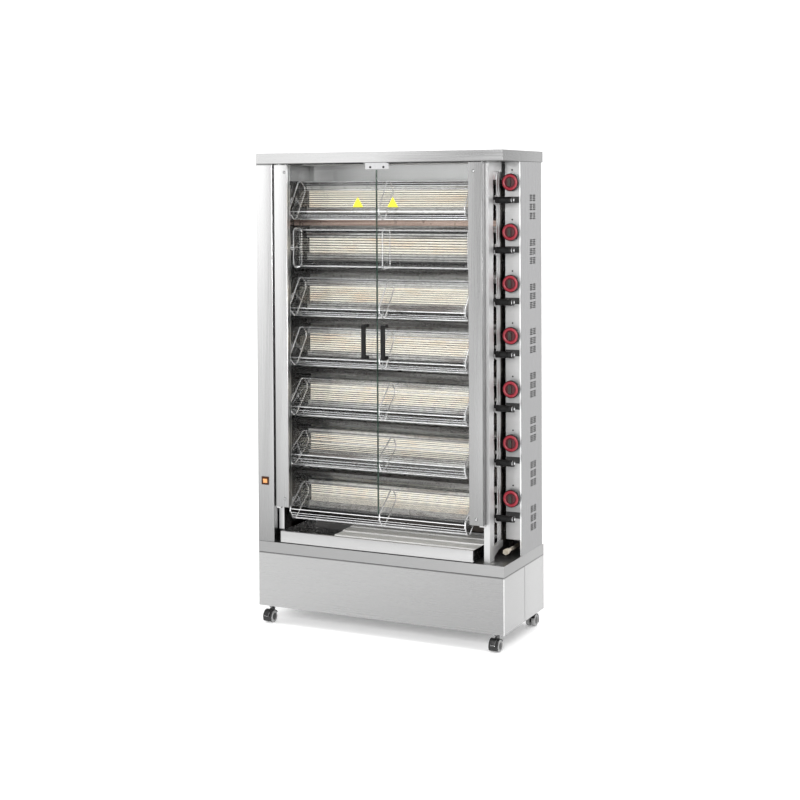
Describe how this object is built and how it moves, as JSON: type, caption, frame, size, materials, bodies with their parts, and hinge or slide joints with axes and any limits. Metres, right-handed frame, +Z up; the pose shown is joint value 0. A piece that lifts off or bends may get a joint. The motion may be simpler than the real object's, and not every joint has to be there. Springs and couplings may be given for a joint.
{
  "type": "rotisserie oven",
  "caption": "Floor-standing gas rotisserie oven with a stack of basket spits in front of infrared burners, twin glass doors, a control knob per burner, a drip tray and castors.",
  "frame": {"origin": "on the floor, under the centre of the oven's overall box", "axes": "+Z up, -Y towards the user (the glass doors), +X to the user's right (the knobs)"},
  "size_m": [1.12, 0.496, 1.99],
  "materials": {
    "brushed_steel": "satin brushed stainless",
    "polished_steel": "polished stainless",
    "heated_steel": "stainless darkened by heat",
    "chrome_wire": "bright plated wire",
    "ceramic": "matt perforated ceramic in a steel housing",
    "clear_glass": "clear toughened glass",
    "black_plastic": "matt black moulding",
    "red_plastic": "crimson moulding",
    "amber_plastic": "lit translucent rocker",
    "yellow_film": "plain yellow film",
    "gas_brass": "dull pipe brass",
    "cast_metal": "oiled dark metal",
    "castor_chrome": "plated pressing",
    "castor_rubber": "grey tread"
  },
  "bodies": {
    "body": {"stand_cabinet": "brushed_steel", "base_pan": "brushed_steel", "drive_column_cover": "brushed_steel", "rear_panel": "brushed_steel", "right_side_panel": "brushed_steel", "control_panel": "polished_steel", "top_cap": "brushed_steel", "cavity_liner": "heated_steel", "smoke_hood": "brushed_steel", "spit_support_frame": "polished_steel", "burner_1": "ceramic", "burner_2": "ceramic", "burner_3": "ceramic", "burner_4": "ceramic", "burner_5": "ceramic", "burner_6": "ceramic", "burner_7": "ceramic", "gas_manifold": "gas_brass", "drive_motor": "cast_metal", "drive_chain": "cast_metal", "door_catch": "polished_steel", "switch_frame": "black_plastic"},
    "left_door": {"left_door_stile": "brushed_steel", "left_door_glass": "clear_glass", "left_door_handle": "black_plastic"},
    "right_door": {"right_door_stile": "brushed_steel", "right_door_glass": "clear_glass", "right_door_handle": "black_plastic"},
    "tray": {"drip_tray": "brushed_steel", "grease_cover": "brushed_steel"},
    "rocker": {"switch_rocker": "amber_plastic"},
    "spit_1": {"spit_basket_1": "chrome_wire", "spit_handle_1": "black_plastic"},
    "spit_2": {"spit_basket_2": "chrome_wire", "spit_handle_2": "black_plastic"},
    "spit_3": {"spit_basket_3": "chrome_wire", "spit_handle_3": "black_plastic"},
    "spit_4": {"spit_basket_4": "chrome_wire", "spit_handle_4": "black_plastic"},
    "spit_5": {"spit_basket_5": "chrome_wire", "spit_handle_5": "black_plastic"},
    "spit_6": {"spit_basket_6": "chrome_wire", "spit_handle_6": "black_plastic"},
    "spit_7": {"spit_basket_7": "chrome_wire", "spit_handle_7": "black_plastic"},
    "knob_1": {"burner_knob_1": "red_plastic"},
    "knob_2": {"burner_knob_2": "red_plastic"},
    "knob_3": {"burner_knob_3": "red_plastic"},
    "knob_4": {"burner_knob_4": "red_plastic"},
    "knob_5": {"burner_knob_5": "red_plastic"},
    "knob_6": {"burner_knob_6": "red_plastic"},
    "knob_7": {"burner_knob_7": "red_plastic"},
    "fork_front_left": {"castor_fork_front_left": "castor_chrome"},
    "wheel_front_left": {"castor_wheel_front_left": "castor_rubber"},
    "fork_front_right": {"castor_fork_front_right": "castor_chrome"},
    "wheel_front_right": {"castor_wheel_front_right": "castor_rubber"},
    "fork_back_left": {"castor_fork_back_left": "castor_chrome"},
    "wheel_back_left": {"castor_wheel_back_left": "castor_rubber"},
    "fork_back_right": {"castor_fork_back_right": "castor_chrome"},
    "wheel_back_right": {"castor_wheel_back_right": "castor_rubber"}
  },
  "joints": [
    {"name": "left_door_hinge", "type": "hinge", "parent": "body", "child": "left_door", "pos_m": [-0.466, -0.206, 1.2], "axis": [0, 0, 1], "range_deg": [-95, 0]},
    {"name": "right_door_hinge", "type": "hinge", "parent": "body", "child": "right_door", "pos_m": [0.466, -0.206, 1.2], "axis": [0, 0, 1], "range_deg": [0, 95]},
    {"name": "tray_slide", "type": "slide", "parent": "body", "child": "tray", "axis": [0, -1, 0], "range_m": [0, 0.26]},
    {"name": "switch_rock", "type": "hinge", "parent": "body", "child": "rocker", "pos_m": [-0.525, -0.218, 0.606], "axis": [1, 0, 0], "range_deg": [-16, 0]},
    {"name": "spit_1_turn", "type": "hinge", "parent": "body", "child": "spit_1", "pos_m": [0, -0.095, 1.791], "axis": [1, 0, 0], "continuous": true},
    {"name": "spit_2_turn", "type": "hinge", "parent": "body", "child": "spit_2", "pos_m": [0, -0.095, 1.59], "axis": [1, 0, 0], "continuous": true},
    {"name": "spit_3_turn", "type": "hinge", "parent": "body", "child": "spit_3", "pos_m": [0, -0.095, 1.382], "axis": [1, 0, 0], "continuous": true},
    {"name": "spit_4_turn", "type": "hinge", "parent": "body", "child": "spit_4", "pos_m": [0, -0.095, 1.171], "axis": [1, 0, 0], "continuous": true},
    {"name": "spit_5_turn", "type": "hinge", "parent": "body", "child": "spit_5", "pos_m": [0, -0.095, 0.954], "axis": [1, 0, 0], "continuous": true},
    {"name": "spit_6_turn", "type": "hinge", "parent": "body", "child": "spit_6", "pos_m": [0, -0.095, 0.735], "axis": [1, 0, 0], "continuous": true},
    {"name": "spit_7_turn", "type": "hinge", "parent": "body", "child": "spit_7", "pos_m": [0, -0.095, 0.51], "axis": [1, 0, 0], "continuous": true},
    {"name": "knob_1_turn", "type": "hinge", "parent": "body", "child": "knob_1", "pos_m": [0.52, -0.031, 1.862], "axis": [0, -1, 0], "range_deg": [0, 200]},
    {"name": "knob_2_turn", "type": "hinge", "parent": "body", "child": "knob_2", "pos_m": [0.52, -0.031, 1.661], "axis": [0, -1, 0], "range_deg": [0, 200]},
    {"name": "knob_3_turn", "type": "hinge", "parent": "body", "child": "knob_3", "pos_m": [0.52, -0.031, 1.453], "axis": [0, -1, 0], "range_deg": [0, 200]},
    {"name": "knob_4_turn", "type": "hinge", "parent": "body", "child": "knob_4", "pos_m": [0.52, -0.031, 1.242], "axis": [0, -1, 0], "range_deg": [0, 200]},
    {"name": "knob_5_turn", "type": "hinge", "parent": "body", "child": "knob_5", "pos_m": [0.52, -0.031, 1.025], "axis": [0, -1, 0], "range_deg": [0, 200]},
    {"name": "knob_6_turn", "type": "hinge", "parent": "body", "child": "knob_6", "pos_m": [0.52, -0.031, 0.806], "axis": [0, -1, 0], "range_deg": [0, 200]},
    {"name": "knob_7_turn", "type": "hinge", "parent": "body", "child": "knob_7", "pos_m": [0.52, -0.031, 0.581], "axis": [0, -1, 0], "range_deg": [0, 200]},
    {"name": "swivel_front_left", "type": "hinge", "parent": "body", "child": "fork_front_left", "pos_m": [-0.516, -0.18, 0.06], "axis": [0, 0, 1], "continuous": true},
    {"name": "roll_front_left", "type": "hinge", "parent": "fork_front_left", "child": "wheel_front_left", "pos_m": [-0.516, -0.2, 0.025], "axis": [1, 0, 0], "continuous": true},
    {"name": "swivel_front_right", "type": "hinge", "parent": "body", "child": "fork_front_right", "pos_m": [0.516, -0.18, 0.06], "axis": [0, 0, 1], "continuous": true},
    {"name": "roll_front_right", "type": "hinge", "parent": "fork_front_right", "child": "wheel_front_right", "pos_m": [0.516, -0.2, 0.025], "axis": [1, 0, 0], "continuous": true},
    {"name": "swivel_back_left", "type": "hinge", "parent": "body", "child": "fork_back_left", "pos_m": [-0.516, 0.185, 0.06], "axis": [0, 0, 1], "continuous": true},
    {"name": "roll_back_left", "type": "hinge", "parent": "fork_back_left", "child": "wheel_back_left", "pos_m": [-0.516, 0.205, 0.025], "axis": [1, 0, 0], "continuous": true},
    {"name": "swivel_back_right", "type": "hinge", "parent": "body", "child": "fork_back_right", "pos_m": [0.516, 0.185, 0.06], "axis": [0, 0, 1], "continuous": true},
    {"name": "roll_back_right", "type": "hinge", "parent": "fork_back_right", "child": "wheel_back_right", "pos_m": [0.516, 0.205, 0.025], "axis": [1, 0, 0], "continuous": true}
  ],
  "couplings": [
    {"joint": "spit_2_turn", "follows": "spit_1_turn", "ratio": 1},
    {"joint": "spit_3_turn", "follows": "spit_1_turn", "ratio": 1},
    {"joint": "spit_4_turn", "follows": "spit_1_turn", "ratio": 1},
    {"joint": "spit_5_turn", "follows": "spit_1_turn", "ratio": 1},
    {"joint": "spit_6_turn", "follows": "spit_1_turn", "ratio": 1},
    {"joint": "spit_7_turn", "follows": "spit_1_turn", "ratio": 1}
  ]
}
